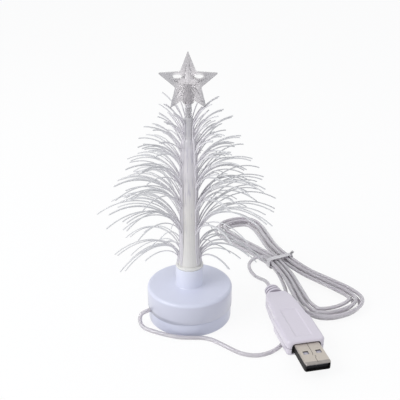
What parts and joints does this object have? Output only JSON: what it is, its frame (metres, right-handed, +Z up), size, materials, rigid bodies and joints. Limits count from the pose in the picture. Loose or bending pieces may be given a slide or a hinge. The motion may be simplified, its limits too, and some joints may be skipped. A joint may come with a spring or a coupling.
{
  "type": "fiber optic christmas tree",
  "caption": "Small table-top fibre optic tree on a round lamp base, with a clear star and a USB lead put up in a tied hank.",
  "frame": {"origin": "centre of the base's flat underside, on the surface that the tree stands on", "axes": "+Z up along the trunk, -Y towards the viewer who sees the star's face, +X to the viewer's right, towards the plug"},
  "size_m": [0.1354, 0.1627, 0.1331],
  "materials": {
    "base_white": "white styrene with a faint blue cast, moulded, satin to gloss",
    "screw_steel": "bright steel",
    "lamp_clear": "clear epoxy",
    "board_green": "green solder mask on board",
    "resistor_black": "black ceramic chip",
    "wire_red": "red insulation",
    "wire_black": "black insulation",
    "cord_white": "translucent white vinyl jacket",
    "tie_white": "white plastic twist tie",
    "housing_white": "white plastic, fine satin",
    "shell_nickel": "nickel plated steel",
    "tongue_black": "black moulded insulator",
    "contact_gold": "gold flashed",
    "ferrule_milky": "milky translucent plastic",
    "fibre_clear": "clear acrylic fibre",
    "star_clear": "clear polystyrene, polished bevels"
  },
  "bodies": {
    "base": {"base_upper_shell": "base_white", "base_lower_tray": "base_white", "base_screw_1": "screw_steel", "base_screw_2": "screw_steel", "base_screw_3": "screw_steel", "led_lens": "lamp_clear", "led_lead_1": "screw_steel", "led_lead_2": "screw_steel", "led_board": "board_green", "board_resistor": "resistor_black", "supply_wire_red": "wire_red", "supply_wire_black": "wire_black", "cord_stop": "wire_black", "cord_front": "cord_white", "cord_hank": "cord_white", "hank_tie": "tie_white", "cord_tail": "cord_white", "plug_housing_upper": "housing_white", "plug_housing_lower": "housing_white", "plug_strain_relief": "housing_white", "usb_shell": "shell_nickel", "usb_tongue": "tongue_black", "usb_contact_1": "contact_gold", "usb_contact_2": "contact_gold", "usb_contact_3": "contact_gold", "usb_contact_4": "contact_gold", "plug_wire_red": "wire_red", "plug_wire_black": "wire_black"},
    "tree": {"trunk_ferrule": "ferrule_milky", "trunk_core": "fibre_clear", "fibre_tiers_1": "fibre_clear", "fibre_tiers_2": "fibre_clear", "fibre_tiers_3": "fibre_clear", "fibre_tiers_4": "fibre_clear", "star_stem": "star_clear"},
    "star": {"star_topper": "star_clear"}
  },
  "joints": [
    {"name": "tree_lift", "type": "slide", "parent": "base", "child": "tree", "axis": [0, 0, 1], "range_m": [0, 0.015]},
    {"name": "star_lift", "type": "slide", "parent": "tree", "child": "star", "axis": [0, 0, 1], "range_m": [0, 0.009]}
  ]
}
